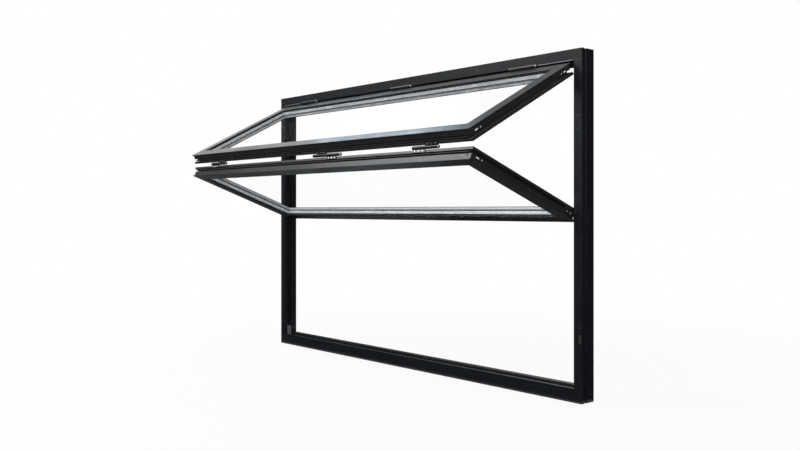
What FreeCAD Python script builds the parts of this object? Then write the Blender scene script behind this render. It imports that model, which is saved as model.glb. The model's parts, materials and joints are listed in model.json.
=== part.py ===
import FreeCAD, Part
import math
import os
import Sketcher

# Fold-up window, half open
# An outer frame carries two glazed leaves, one above the other. The upper leaf hangs from the head on
# three hinges, the lower leaf hangs from the upper one on three more, and the foot of the lower leaf
# runs on two rollers in grooves of the jambs. Seen from outside, +X is right, +Y is inwards, +Z is up.
# The origin is the middle of the sill's underside, at half the frame's depth.
# Two letters return in the profiles: "in" counts from a member's outer edge towards the glass,
# "deep" counts from the outside face towards the room.

dimensions = {
    # outer frame
    "frameWidth": 1800.0,
    "frameHeight": 1200.0,
    "frameDepth": 66.0,
    "jambFace": 34.0,
    "headFace": 37.0,
    "headStop": 15.0,
    "sillFace": 48.0,
    "sillUpstand": 4.0,
    "frameWall": 2.0,
    "channelNear": 13.3,
    "channelFar": 26.2,
    "channelDepth": 5.0,
    "upstandClearance": 1.5,
    "trackNear": 14.5,
    "trackFar": 35.5,
    "trackDepth": 14.0,
    # leaf sections
    "leafGap": 6.0,
    "leafLength": 556.0,
    "leafThickness": 42.0,
    "leafFace": 46.0,
    "leafWall": 2.0,
    "leafProud": 4.0,
    "flangeThickness": 3.0,
    "bandRecess": 5.0,
    "grooveNear": 22.0,
    "grooveFar": 33.0,
    "grooveDepth": 14.0,
    "rebateStart": 30.0,
    "footRecess": 14.0,
    "meetingGap": 5.0,
    "headGap": 7.0,
    "mitreOverrun": 4.0,
    # glass
    "outerGasket": 4.0,
    "paneThickness": 4.0,
    "spacerThickness": 12.0,
    "innerGasket": 3.0,
    "glassInset": 34.0,
    "spacerInset": 37.0,
    "spacerWidth": 10.5,
    "gasketLip": 1.0,
    "gasketStart": 38.0,
    "beadWall": 1.6,
    "beadChamfer": 4.0,
    "sawGap": 0.2,
    # hinges
    "headAxisProud": 11.0,
    "headAxisDrop": 3.0,
    "foldAxisOffset": 7.0,
    "hingeLength": 118.0,
    "hingeOffset": 650.0,
    "middleFoldOffset": 125.0,
    "middleBarrelLength": 162.0,
    "headKnuckle": 6.5,
    "foldKnuckle": 6.0,
    "pinRadius": 3.0,
    "pinClearance": 0.05,
    "knuckleGap": 0.4,
    "pinHeadRadius": 5.5,
    "pinHeadLength": 3.0,
    "pinHeadChamfer": 1.5,
    "headWingThickness": 2.8,
    "headWingWidth": 24.0,
    "headScrewWidth": 17.0,
    "foldWingThickness": 2.2,
    "wingScrewOffset": 31.0,
    "wingScrewPitch": 18.0,
    "wingScrewRadius": 2.1,
    # foot
    "footAxisUp": 5.0,
    "footPinRadius": 3.5,
    "footBossRadius": 5.0,
    "rollerRadius": 8.5,
    "rollerWidth": 9.0,
    "rollerClearance": 0.5,
    "bracketStart": 16.0,
    "bracketLength": 56.0,
    "bracketNear": 13.0,
    "bracketCorner": 4.0,
    "bracketScrewLow": 37.0,
    "bracketScrewHigh": 58.0,
    "keeperHeight": 36.0,
    "keeperSunk": 17.0,
    "keeperWall": 1.5,
    "keeperFloor": 3.5,
    "keeperClearance": 0.15,
    # corner marks of the leaves
    "cleatMarkDeep": 18.0,
    "cleatSlotAway": 35.0,
    "cleatSlotLength": 16.0,
    "cleatSlotWidth": 5.0,
    "cleatHoleAway": 55.0,
    "cleatHoleRadius": 2.8,
    "cleatDepth": 9.0,
    "railHoleAway": 22.6,
    "railHoleRadius": 3.0,
    "railPlugAway": 46.0,
    # small pieces
    "sealWidth": 4.0,
    "sealDepth": 5.0,
    "meetingSealBase": 7.0,
    "meetingSealFoot": 2.5,
    "meetingSealFin": 2.4,
    "meetingSealBelow": 1.5,
    "capWidth": 8.6,
    "capHeight": 29.0,
    "capThickness": 1.0,
    "capIn": 3.6,
    "capUp": 203.0,
    "fixingRadius": 4.5,
    "fixingLow": 250.0,
    "fixingHigh": 950.0,
    # how far the upper leaf is swung out, in degrees
    "upperSwing": 62.9,
}

doc = FreeCAD.newDocument("FoldUpWindow")
sheet = doc.addObject("Spreadsheet::Sheet", "Sizes")
for row, (name, value) in enumerate(dimensions.items(), start=1):
    sheet.set("A%d" % row, name)
    sheet.set("B%d" % row, str(value))
    sheet.setAlias("B%d" % row, name)
doc.recompute()


# A size knows its number and how it is written with the sheet's names
class Size:
    def __init__(self, value, text):
        self.value = value
        self.text = text

    def __add__(self, other):
        return joined(self, "+", other)

    def __radd__(self, other):
        return joined(other, "+", self)

    def __sub__(self, other):
        return joined(self, "-", other)

    def __rsub__(self, other):
        return joined(other, "-", self)

    def __mul__(self, other):
        return joined(self, "*", other)

    def __rmul__(self, other):
        return joined(other, "*", self)

    def __truediv__(self, other):
        return joined(self, "/", other)

    def __neg__(self):
        return joined(0.0, "-", self)


def asSize(thing):
    if isinstance(thing, Size):
        return thing
    return Size(float(thing), repr(float(thing)))


def joined(first, sign, second):
    first = asSize(first)
    second = asSize(second)
    if sign == "+":
        value = first.value + second.value
    elif sign == "-":
        value = first.value - second.value
    elif sign == "*":
        value = first.value * second.value
    else:
        value = first.value / second.value
    return Size(value, "(%s %s %s)" % (first.text, sign, second.text))


class Named:
    pass


size = Named()
for name, value in dimensions.items():
    setattr(size, name, Size(value, "Sizes." + name))

# Places that several pieces share
halfWidth = size.frameWidth / 2
halfDepth = size.frameDepth / 2
frontY = -halfDepth
leafHalf = halfWidth - size.jambFace - size.leafGap
headUnder = size.frameHeight - size.headFace
sillTop = size.sillFace
trackMiddle = (size.trackNear + size.trackFar) / 2
channelMiddle = (size.channelNear + size.channelFar) / 2
headAxisY = frontY - size.headAxisProud
headAxisZ = headUnder - size.headAxisDrop
leafTop = headUnder - size.headGap

# Upper leaf, in a frame of its own whose origin lies on the head hinges' axis
upperOutside = size.headAxisProud - size.leafProud
upperTop = leafTop - headAxisZ
upperFoot = upperTop - size.leafLength
foldAxisY = upperOutside + size.leafThickness + size.foldAxisOffset
foldAxisZ = upperFoot - size.meetingGap / 2

# Lower leaf, in a frame of its own whose origin lies on the fold hinges' axis
lowerOutside = -size.foldAxisOffset - size.leafThickness
lowerTop = -size.meetingGap / 2
lowerFoot = lowerTop - size.leafLength
footAxisY = trackMiddle + size.headAxisProud - foldAxisY
footAxisZ = lowerFoot + size.footAxisUp


# Fold of the two leaves: the foot's rollers stay in the jambs' grooves
def foldedPlaces():
    swing = math.radians(size.upperSwing.value)
    run = foldAxisY.value
    rise = -foldAxisZ.value
    foldY = headAxisY.value + run * math.cos(swing) - rise * math.sin(swing)
    foldZ = headAxisZ.value - run * math.sin(swing) - rise * math.cos(swing)
    link = math.hypot(footAxisY.value, footAxisZ.value)
    closedLean = math.atan2(footAxisY.value, -footAxisZ.value)
    footY = frontY.value + trackMiddle.value
    openLean = math.asin((footY - foldY) / link)
    footZ = foldZ - link * math.cos(openLean)
    across = FreeCAD.Vector(1, 0, 0)
    upper = FreeCAD.Placement(
        FreeCAD.Vector(0, headAxisY.value, headAxisZ.value),
        FreeCAD.Rotation(across, -math.degrees(swing)))
    lower = FreeCAD.Placement(
        FreeCAD.Vector(0, foldY, foldZ),
        FreeCAD.Rotation(across, math.degrees(openLean - closedLean)))
    return upper, lower, footZ


upperPlace, lowerPlace, footZ = foldedPlaces()
framePlace = FreeCAD.Placement()

parts = []


# Sketches and features
def originPlane(body, role):
    return [plane for plane in body.Origin.OriginFeatures if plane.Role == role][0]


def newSketch(body, name, role, offset=None):
    sketch = body.newObject("Sketcher::SketchObject", name)
    sketch.AttachmentSupport = [(originPlane(body, role), "")]
    sketch.MapMode = "FlatFace"
    if offset is not None:
        sketch.AttachmentOffset = FreeCAD.Placement(FreeCAD.Vector(0, 0, offset.value), FreeCAD.Rotation())
        sketch.setExpression("AttachmentOffset.Base.z", offset.text)
    return sketch


# A length of zero is kept by putting the point on the axis
def pinPoint(sketch, line, end, kind, place):
    if abs(place.value) < 1e-9:
        axis = -2 if kind == "DistanceX" else -1
        sketch.addConstraint(Sketcher.Constraint("PointOnObject", line, end, axis))
        return
    index = sketch.addConstraint(Sketcher.Constraint(kind, -1, 1, line, end, place.value))
    sketch.setExpression("Constraints[%d]" % index, place.text)


def drawOutline(sketch, corners):
    corners = [(asSize(across), asSize(up)) for across, up in corners]
    first = sketch.GeometryCount
    count = len(corners)
    for index, (across, up) in enumerate(corners):
        nextAcross, nextUp = corners[(index + 1) % count]
        start = FreeCAD.Vector(across.value, up.value, 0)
        end = FreeCAD.Vector(nextAcross.value, nextUp.value, 0)
        sketch.addGeometry(Part.LineSegment(start, end), False)
    for index, (across, up) in enumerate(corners):
        line = first + index
        following = first + (index + 1) % count
        sketch.addConstraint(Sketcher.Constraint("Coincident", line, 2, following, 1))
        pinPoint(sketch, line, 1, "DistanceX", across)
        pinPoint(sketch, line, 1, "DistanceY", up)


def drawCircle(sketch, across, up, radius):
    across, up, radius = asSize(across), asSize(up), asSize(radius)
    centre = FreeCAD.Vector(across.value, up.value, 0)
    circle = sketch.addGeometry(Part.Circle(centre, FreeCAD.Vector(0, 0, 1), radius.value), False)
    pinPoint(sketch, circle, 3, "DistanceX", across)
    pinPoint(sketch, circle, 3, "DistanceY", up)
    index = sketch.addConstraint(Sketcher.Constraint("Radius", circle, radius.value))
    sketch.setExpression("Constraints[%d]" % index, radius.text)


def newBody(label, place=None):
    body = doc.addObject("PartDesign::Body", label)
    body.Label = label
    if place is not None:
        body.Placement = place
    return body


def addPad(body, name, sketch, length, symmetric=False, backwards=False):
    pad = body.newObject("PartDesign::Pad", name)
    pad.Profile = sketch
    length = asSize(length)
    pad.Length = length.value
    pad.setExpression("Length", length.text)
    if symmetric:
        pad.SideType = "Symmetric"
    pad.Reversed = backwards
    body.Tip = pad
    return pad


def addPocket(body, name, sketch, length=None, backwards=False):
    pocket = body.newObject("PartDesign::Pocket", name)
    pocket.Profile = sketch
    if length is None:
        pocket.Type = "ThroughAll"
        pocket.SideType = "Two sides"
        pocket.Type2 = "ThroughAll"
    else:
        pocket.Length = length.value
        pocket.setExpression("Length", length.text)
        pocket.Reversed = backwards
    body.Tip = pocket
    return pocket


def keep(label, thing):
    thing.Label = label
    parts.append(thing)
    return thing


# Profiles of the outer frame, as (in, deep) corners
def channelCorners():
    return [
        (0, size.channelFar),
        (size.channelDepth, size.channelFar),
        (size.channelDepth, size.channelNear),
        (0, size.channelNear),
    ]


def box(low, high, near, far):
    return [(low, near), (high, near), (high, far), (low, far)]


def jambProfile():
    wall = size.frameWall
    floor = size.jambFace - size.trackDepth
    outline = [
        (0, 0),
        (size.jambFace, 0),
        (size.jambFace, size.trackNear),
        (floor, size.trackNear),
        (floor, size.trackFar),
        (size.jambFace, size.trackFar),
        (size.jambFace, size.frameDepth),
        (0, size.frameDepth),
    ] + channelCorners()
    chambers = [
        box(size.channelDepth + wall, floor - wall, wall, size.trackFar),
        box(floor, size.jambFace - wall, wall, size.trackNear - wall),
        box(wall, size.jambFace - wall, size.trackFar + wall, size.frameDepth - wall),
    ]
    return outline, chambers


# Behind the leaf the head steps down to a hollow stop, as the sill steps up to its upstand
def headProfile():
    wall = size.frameWall
    sealNear = halfDepth - size.leafProud
    sealFar = sealNear + size.sealWidth
    stopNear = size.leafThickness - size.leafProud + size.upstandClearance
    stopFace = size.headFace + size.headStop
    outline = [
        (0, 0),
        (size.headFace, 0),
        (size.headFace, sealNear),
        (size.headFace - size.sealDepth, sealNear),
        (size.headFace - size.sealDepth, sealFar),
        (size.headFace, sealFar),
        (size.headFace, stopNear),
        (stopFace, stopNear),
        (stopFace, size.frameDepth),
        (0, size.frameDepth),
    ] + channelCorners()
    chambers = [
        box(size.channelDepth + wall, size.headFace - wall, wall, sealNear - wall),
        box(wall, size.headFace - wall, sealFar + wall, stopNear),
        box(wall, stopFace - wall, stopNear + wall, size.frameDepth - wall),
    ]
    return outline, chambers


def sillProfile():
    wall = size.frameWall
    floor = size.sillFace - size.trackDepth
    upstandNear = size.leafThickness - size.leafProud + size.upstandClearance
    outline = [
        (0, 0),
        (size.sillFace, 0),
        (size.sillFace, size.trackNear),
        (floor, size.trackNear),
        (floor, size.trackFar),
        (size.sillFace, size.trackFar),
        (size.sillFace, upstandNear),
        (size.sillFace + size.sillUpstand, upstandNear),
        (size.sillFace + size.sillUpstand, size.frameDepth),
        (0, size.frameDepth),
    ] + channelCorners()
    chambers = [
        box(size.channelDepth + wall, floor - wall, wall, size.trackFar),
        box(floor, size.sillFace - wall, wall, size.trackNear - wall),
        box(wall, size.sillFace - wall, size.trackFar + wall, size.frameDepth - wall),
    ]
    return outline, chambers


def makeJamb(label, side):
    body = newBody(label)
    sketch = newSketch(body, label + "_profile", "XY_Plane")
    outline, chambers = jambProfile()
    for loop in [outline] + chambers:
        drawOutline(sketch, [(side * (halfWidth - inward), frontY + deep) for inward, deep in loop])
    addPad(body, label + "_length", sketch, size.frameHeight)
    holes = newSketch(body, label + "_fixings", "YZ_Plane")
    for height in (size.fixingLow, size.fixingHigh):
        drawCircle(holes, frontY + channelMiddle, height, size.fixingRadius)
    addPocket(body, label + "_fixing_holes", holes)
    return keep(label, body)


def makeCross(label, profile, upright):
    body = newBody(label)
    sketch = newSketch(body, label + "_profile", "YZ_Plane")
    outline, chambers = profile
    for loop in [outline] + chambers:
        drawOutline(sketch, [(frontY + deep, upright(inward)) for inward, deep in loop])
    addPad(body, label + "_length", sketch, size.frameWidth - 2 * size.jambFace, symmetric=True)
    return keep(label, body)


def makeFrame():
    makeCross("frame_head", headProfile(), lambda inward: size.frameHeight - inward)
    makeCross("frame_sill", sillProfile(), lambda inward: asSize(inward))
    makeJamb("frame_left_jamb", -1)
    makeJamb("frame_right_jamb", 1)


# Profile of a leaf member, as (in, deep) corners
# The outside flange and the inside lip reach the leaf's edge, with a recessed band and a groove between.
# At the foot the lip and the band both stay back, to pass above the sill.
def leafProfile(foot=False):
    band = size.footRecess if foot else size.bandRecess
    lip = size.footRecess if foot else asSize(0)
    wall = size.leafWall
    pocket = size.footRecess + wall if foot else size.grooveDepth
    outline = [(0, 0), (size.leafFace, 0), (size.leafFace, size.flangeThickness)]
    outline += [(size.rebateStart, size.flangeThickness), (size.rebateStart, size.leafThickness)]
    if foot:
        outline += [(lip, size.leafThickness), (band, size.flangeThickness)]
    else:
        outline += [
            (lip, size.leafThickness),
            (lip, size.grooveFar),
            (pocket, size.grooveFar),
            (pocket, size.grooveNear),
            (band, size.grooveNear),
            (band, size.flangeThickness),
        ]
    outline += [(0, size.flangeThickness)]
    chambers = [box(size.grooveDepth + wall, size.rebateStart - wall, wall, size.leafThickness - wall)]
    if not foot:
        chambers += [
            box(band + wall, size.grooveDepth, wall, size.grooveNear - wall),
            box(lip + wall, size.grooveDepth - wall, size.grooveFar + wall, size.leafThickness - wall),
        ]
    return outline, chambers


def beadProfile():
    near = size.flangeThickness + glassDepth()
    wall = size.beadWall
    low = size.rebateStart
    high = size.leafFace
    far = size.leafThickness
    outline = [
        (low, near),
        (high, near),
        (high, far - size.beadChamfer),
        (high - size.beadChamfer, far),
        (low, far),
    ]
    return outline, [box(low + wall, high - size.beadChamfer, near + wall, far - wall)]


def glassDepth():
    return size.outerGasket + 2 * size.paneThickness + size.spacerThickness + size.innerGasket


# A leaf: where its outside face, top edge and bottom edge lie in its own frame, and how it is placed
class Leaf:
    def __init__(self, name, outside, top, bottom, place):
        self.name = name
        self.outside = outside
        self.top = top
        self.bottom = bottom
        self.place = place


upperLeaf = Leaf("upper", upperOutside, upperTop, upperFoot, upperPlace)
lowerLeaf = Leaf("lower", lowerOutside, lowerTop, lowerFoot, lowerPlace)


# Corners are sawn at 45 degrees; the cut runs a little past the member on both sides
def mitreCorners(leaf, side, high, keepRail, gap):
    over = size.mitreOverrun
    edge = side * leafHalf
    corner = leaf.top if high else leaf.bottom
    down = -1 if high else 1
    shift = gap / 2 if keepRail else -gap / 2
    outer = (edge + side * over, corner - down * over)
    inner = (edge - side * (size.leafFace + over), corner + down * (size.leafFace + over))
    if keepRail:
        third = (outer[0], inner[1])
        return [(across - side * shift, up) for across, up in (outer, third, inner)]
    third = (inner[0], outer[1])
    return [(across - side * shift, up) for across, up in (outer, third, inner)]


def makeRail(leaf, label, high, profile, gap):
    body = newBody(label, leaf.place)
    sketch = newSketch(body, label + "_profile", "YZ_Plane")
    outline, chambers = profile
    corner = leaf.top if high else leaf.bottom
    down = -1 if high else 1
    for loop in [outline] + chambers:
        drawOutline(sketch, [(leaf.outside + deep, corner + down * asSize(inward)) for inward, deep in loop])
    addPad(body, label + "_length", sketch, 2 * leafHalf, symmetric=True)
    cuts = newSketch(body, label + "_mitres", "XZ_Plane")
    for side in (-1, 1):
        drawOutline(cuts, mitreCorners(leaf, side, high, True, gap))
    addPocket(body, label + "_mitre_cuts", cuts)
    return body


def makeStile(leaf, label, side, profile, gap):
    body = newBody(label, leaf.place)
    sketch = newSketch(body, label + "_profile", "XY_Plane", leaf.bottom)
    outline, chambers = profile
    for loop in [outline] + chambers:
        drawOutline(sketch, [(side * (leafHalf - inward), leaf.outside + deep) for inward, deep in loop])
    addPad(body, label + "_length", sketch, size.leafLength)
    cuts = newSketch(body, label + "_mitres", "XZ_Plane")
    for high in (True, False):
        drawOutline(cuts, mitreCorners(leaf, side, high, False, gap))
    addPocket(body, label + "_mitre_cuts", cuts)
    return body


# Slot and round hole near an end of a stile, where the corner cleat is fixed
def addCleatMarks(leaf, body, label, side, ends):
    marks = newSketch(body, label + "_cleat_marks", "YZ_Plane", side * leafHalf)
    middle = leaf.outside + size.cleatMarkDeep
    halfSlot = size.cleatSlotLength / 2
    halfGap = size.cleatSlotWidth / 2
    for corner, down in ends:
        centre = corner + down * size.cleatSlotAway
        drawOutline(marks, [
            (middle - halfGap, centre - halfSlot),
            (middle + halfGap, centre - halfSlot),
            (middle + halfGap, centre + halfSlot),
            (middle - halfGap, centre + halfSlot),
        ])
        drawCircle(marks, middle, corner + down * size.cleatHoleAway, size.cleatHoleRadius)
    addPocket(body, label + "_cleat_holes", marks, size.cleatDepth, backwards=side < 0)


# Two holes near each end of the lower leaf's top rail
def addRailMarks(leaf, body, label):
    marks = newSketch(body, label + "_end_marks", "XY_Plane", leaf.top)
    middle = leaf.outside + size.cleatMarkDeep
    for side in (-1, 1):
        drawCircle(marks, side * (leafHalf - size.railHoleAway), middle, size.railHoleRadius)
        drawCircle(marks, side * (leafHalf - size.railPlugAway), middle, size.cleatHoleRadius)
    addPocket(body, label + "_end_holes", marks, size.cleatDepth)


# Below the recessed foot only the outside flange of a stile goes on
def cutFoot(leaf, body, label, side):
    notch = newSketch(body, label + "_foot", "YZ_Plane", side * leafHalf)
    near = leaf.outside + size.flangeThickness
    far = leaf.outside + size.leafThickness + size.mitreOverrun
    low = leaf.bottom - size.mitreOverrun
    high = leaf.bottom + size.footRecess
    drawOutline(notch, [(near, low), (far, low), (far, high), (near, high)])
    addPocket(body, label + "_foot_notch", notch, size.leafFace, backwards=side < 0)


def makeLeafMembers(leaf, footIsRecessed):
    plain = leafProfile()
    low = leafProfile(foot=True) if footIsRecessed else plain
    label = leaf.name + "_top_rail"
    body = makeRail(leaf, label, True, plain, asSize(0))
    if footIsRecessed:
        addRailMarks(leaf, body, label)
    keep(label, body)
    label = leaf.name + "_bottom_rail"
    keep(label, makeRail(leaf, label, False, low, asSize(0)))
    ends = [(leaf.top, -1)] if footIsRecessed else [(leaf.top, -1), (leaf.bottom, 1)]
    for word, side in (("left", -1), ("right", 1)):
        label = "%s_%s_stile" % (leaf.name, word)
        body = makeStile(leaf, label, side, plain, asSize(0))
        addCleatMarks(leaf, body, label, side, ends)
        if footIsRecessed:
            cutFoot(leaf, body, label, side)
        keep(label, body)


def makeBeads(leaf):
    pieces = []
    profile = beadProfile()
    for word, high in (("top", True), ("bottom", False)):
        pieces.append(makeRail(leaf, "%s_%s_bead" % (leaf.name, word), high, profile, size.sawGap))
    for word, side in (("left", -1), ("right", 1)):
        pieces.append(makeStile(leaf, "%s_%s_bead" % (leaf.name, word), side, profile, size.sawGap))
    label = leaf.name + "_glazing_beads"
    beads = doc.addObject("Part::Compound", label)
    beads.Links = pieces
    return keep(label, beads)


# A flat ring or plate that follows the leaf's outline
def makeSheet(leaf, label, inset, width, near, far):
    body = newBody(label, leaf.place)
    sketch = newSketch(body, label + "_outline", "XZ_Plane", -(leaf.outside + near))
    insets = [inset] if width is None else [inset, inset + width]
    for step in insets:
        across = leafHalf - step
        drawOutline(sketch, [
            (-across, leaf.bottom + step),
            (across, leaf.bottom + step),
            (across, leaf.top - step),
            (-across, leaf.top - step),
        ])
    addPad(body, label + "_thickness", sketch, far - near, backwards=True)
    return keep(label, body)


def makeGlazing(leaf):
    outer = size.flangeThickness + size.outerGasket
    inner = outer + size.paneThickness + size.spacerThickness
    last = inner + size.paneThickness
    lip = size.leafFace - size.gasketStart + size.gasketLip
    makeSheet(leaf, leaf.name + "_outer_gasket", size.gasketStart, lip, size.flangeThickness, outer)
    makeSheet(leaf, leaf.name + "_outer_pane", size.glassInset, None, outer, outer + size.paneThickness)
    makeSheet(leaf, leaf.name + "_spacer", size.spacerInset, size.spacerWidth, outer + size.paneThickness, inner)
    makeSheet(leaf, leaf.name + "_inner_pane", size.glassInset, None, inner, last)
    makeSheet(leaf, leaf.name + "_inner_gasket", size.gasketStart, lip, last, last + size.innerGasket)


# Half a flag hinge: a barrel on one half of the length and a wing that grows out of it
def makeWing(label, place, axisY, axisZ, middle, side, knuckle, plates, screws, barrelLength):
    body = newBody(label, place)
    start = asSize(middle) + side * size.knuckleGap / 2
    wing = newSketch(body, label + "_wing", "YZ_Plane", start)
    drawOutline(wing, plates)
    wingLength = (size.hingeLength - size.knuckleGap) / 2
    addPad(body, label + "_wing_length", wing, wingLength, backwards=side < 0)
    barrel = newSketch(body, label + "_barrel", "YZ_Plane", start)
    drawCircle(barrel, axisY, axisZ, knuckle)
    halfBarrel = (barrelLength - size.knuckleGap) / 2
    addPad(body, label + "_barrel_length", barrel, halfBarrel, backwards=side < 0)
    bore = newSketch(body, label + "_bore", "YZ_Plane", start)
    drawCircle(bore, axisY, axisZ, size.pinRadius + size.pinClearance)
    addPocket(body, label + "_pin_hole", bore)
    holes = newSketch(body, label + "_screws", "XY_Plane")
    centre = middle + side * size.wingScrewOffset
    for step in (-1, 0, 1):
        drawCircle(holes, centre + step * size.wingScrewPitch, screws, size.wingScrewRadius)
    addPocket(body, label + "_screw_holes", holes)
    return body


# The pin turns about its leaf's X axis; a chamfered head closes the barrel at each end
def makePin(label, place, middle, barrelLength):
    body = newBody(label, place)
    low = middle - barrelLength / 2
    high = middle + barrelLength / 2
    head = size.pinHeadLength
    chamfer = size.pinHeadChamfer
    profile = newSketch(body, label + "_profile", "XZ_Plane")
    drawOutline(profile, [
        (low - head, 0),
        (low - head, size.pinHeadRadius - chamfer),
        (low - head + chamfer, size.pinHeadRadius),
        (low, size.pinHeadRadius),
        (low, size.pinRadius),
        (high, size.pinRadius),
        (high, size.pinHeadRadius),
        (high + head - chamfer, size.pinHeadRadius),
        (high + head, size.pinHeadRadius - chamfer),
        (high + head, 0),
    ])
    turned = body.newObject("PartDesign::Revolution", label + "_turned")
    turned.Profile = profile
    turned.ReferenceAxis = (profile, ["H_Axis"])
    turned.Angle = 360
    body.Tip = turned
    return body


def gather(label, pieces):
    group = doc.addObject("Part::Compound", label)
    group.Links = pieces
    return keep(label, group)


# Head hinges: one wing lies under the head, the other on the top rail with a block in its recess
def makeHeadHinges():
    fixed = []
    swinging = []
    pins = []
    reach = size.headWingWidth
    thick = size.headWingThickness
    for index, middle in enumerate((-size.hingeOffset, asSize(0), size.hingeOffset)):
        name = "head_hinge_%d" % (index + 1)
        fixedWing = [
            (headAxisY, headUnder - thick),
            (headAxisY + reach, headUnder - thick),
            (headAxisY + reach, headUnder),
            (headAxisY, headUnder),
        ]
        fixed.append(makeWing(
            name + "_fixed", framePlace, headAxisY, headAxisZ, middle, -1,
            size.headKnuckle, fixedWing, headAxisY + size.headScrewWidth, size.hingeLength))
        seat = upperTop - size.bandRecess
        seatNear = upperOutside + size.flangeThickness + size.pinClearance
        swingingWing = [
            (0, upperTop),
            (seatNear, upperTop),
            (seatNear, seat),
            (reach, seat),
            (reach, upperTop + thick),
            (0, upperTop + thick),
        ]
        swinging.append(makeWing(
            name + "_swinging", upperPlace, asSize(0), asSize(0), middle, 1,
            size.headKnuckle, swingingWing, size.headScrewWidth, size.hingeLength))
        pins.append(makePin(name + "_pin", upperPlace, middle, size.hingeLength))
    gather("head_hinge_fixed_wings", fixed)
    gather("head_hinge_leaf_wings", swinging)
    gather("head_hinge_pins", pins)


# Fold hinges: the wings lie on the leaves' inside lips
# The middle one has a longer barrel, and its wings change sides
def makeFoldHinges():
    above = []
    below = []
    pins = []
    thick = size.foldWingThickness
    lip = size.leafThickness - size.grooveFar
    places = (
        (-size.hingeOffset, 1, size.hingeLength),
        (size.middleFoldOffset, -1, size.middleBarrelLength),
        (size.hingeOffset, 1, size.hingeLength),
    )
    for index, (middle, side, barrelLength) in enumerate(places):
        name = "fold_hinge_%d" % (index + 1)
        lipNear = upperOutside + size.grooveFar
        upperWing = [
            (lipNear, upperFoot - thick),
            (foldAxisY, upperFoot - thick),
            (foldAxisY, upperFoot),
            (lipNear, upperFoot),
        ]
        above.append(makeWing(
            name + "_upper", upperPlace, foldAxisY, foldAxisZ, middle, side,
            size.foldKnuckle, upperWing, lipNear + lip / 2, barrelLength))
        lowNear = lowerOutside + size.grooveFar
        lowerWing = [
            (lowNear, lowerTop),
            (asSize(0), lowerTop),
            (asSize(0), lowerTop + thick),
            (lowNear, lowerTop + thick),
        ]
        below.append(makeWing(
            name + "_lower", lowerPlace, asSize(0), asSize(0), middle, -side,
            size.foldKnuckle, lowerWing, lowNear + lip / 2, barrelLength))
        pins.append(makePin(name + "_pin", lowerPlace, middle, barrelLength))
    gather("fold_hinge_upper_wings", above)
    gather("fold_hinge_lower_wings", below)
    gather("fold_hinge_pins", pins)


# Foot of the lower leaf: a bracket in the stile's recess reaches down to a pin that carries a roller
# The plate stays above the sill, and only the leg with the pin goes into the sill's groove
def makeFoot(word, side):
    label = word + "_foot_bracket"
    body = newBody(label, lowerPlace)
    back = side * (leafHalf - size.bandRecess)
    near = lowerOutside + size.bracketNear
    band = lowerOutside + size.grooveNear
    far = lowerOutside + size.grooveFar
    low = lowerFoot + size.bracketStart
    high = low + size.bracketLength
    corner = size.bracketCorner
    plate = newSketch(body, label + "_plate", "YZ_Plane", back)
    drawOutline(plate, [
        (near, low),
        (band, low),
        (band, footAxisZ),
        (far, footAxisZ),
        (far, high - corner),
        (far - corner, high),
        (near + corner, high),
        (near, high - corner),
    ])
    addPad(body, label + "_thickness", plate, size.bandRecess, backwards=side < 0)
    boss = newSketch(body, label + "_boss", "YZ_Plane", back)
    drawCircle(boss, footAxisY, footAxisZ, size.footBossRadius)
    addPad(body, label + "_boss_thickness", boss, size.bandRecess, backwards=side < 0)
    pin = newSketch(body, label + "_pin", "YZ_Plane", side * leafHalf)
    drawCircle(pin, footAxisY, footAxisZ, size.footPinRadius)
    shoeWall = size.keeperWall + size.keeperClearance
    pinLength = size.leafGap + size.trackDepth - shoeWall - size.rollerClearance
    addPad(body, label + "_pin_length", pin, pinLength, backwards=side < 0)
    holes = newSketch(body, label + "_screws", "YZ_Plane", back)
    for height in (size.bracketScrewLow, size.bracketScrewHigh):
        drawCircle(holes, (near + band) / 2, lowerFoot + height, size.wingScrewRadius)
    addPocket(body, label + "_screw_holes", holes)
    keep(label, body)

    label = word + "_foot_roller"
    body = newBody(label, lowerPlace)
    wheel = newSketch(body, label + "_wheel", "YZ_Plane",
                      side * (leafHalf + pinLength - size.rollerWidth))
    drawCircle(wheel, footAxisY, footAxisZ, size.rollerRadius)
    drawCircle(wheel, footAxisY, footAxisZ, size.footPinRadius + size.pinClearance)
    addPad(body, label + "_width", wheel, size.rollerWidth, backwards=side < 0)
    keep(label, body)


# Shoe at the bottom of a jamb's groove, open at the top and the side, that takes the roller when shut
def makeKeeper(word, side):
    label = word + "_track_shoe"
    body = newBody(label)
    wall = size.keeperWall
    floorX = halfWidth - size.jambFace + size.trackDepth
    outerX = halfWidth - size.jambFace
    near = frontY + size.trackNear + size.keeperClearance
    far = frontY + size.trackFar - size.keeperClearance
    back = floorX - size.keeperClearance
    bottom = sillTop - size.keeperSunk
    sketch = newSketch(body, label + "_section", "XY_Plane", bottom)
    drawOutline(sketch, [
        (side * outerX, near),
        (side * back, near),
        (side * back, far),
        (side * outerX, far),
        (side * outerX, far - wall),
        (side * (back - wall), far - wall),
        (side * (back - wall), near + wall),
        (side * outerX, near + wall),
    ])
    addPad(body, label + "_height", sketch, size.keeperHeight + size.keeperSunk)
    floor = newSketch(body, label + "_floor", "XY_Plane", bottom)
    drawOutline(floor, [(side * outerX, near), (side * back, near), (side * back, far), (side * outerX, far)])
    addPad(body, label + "_floor_thickness", floor, size.keeperFloor)
    keep(label, body)


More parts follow.
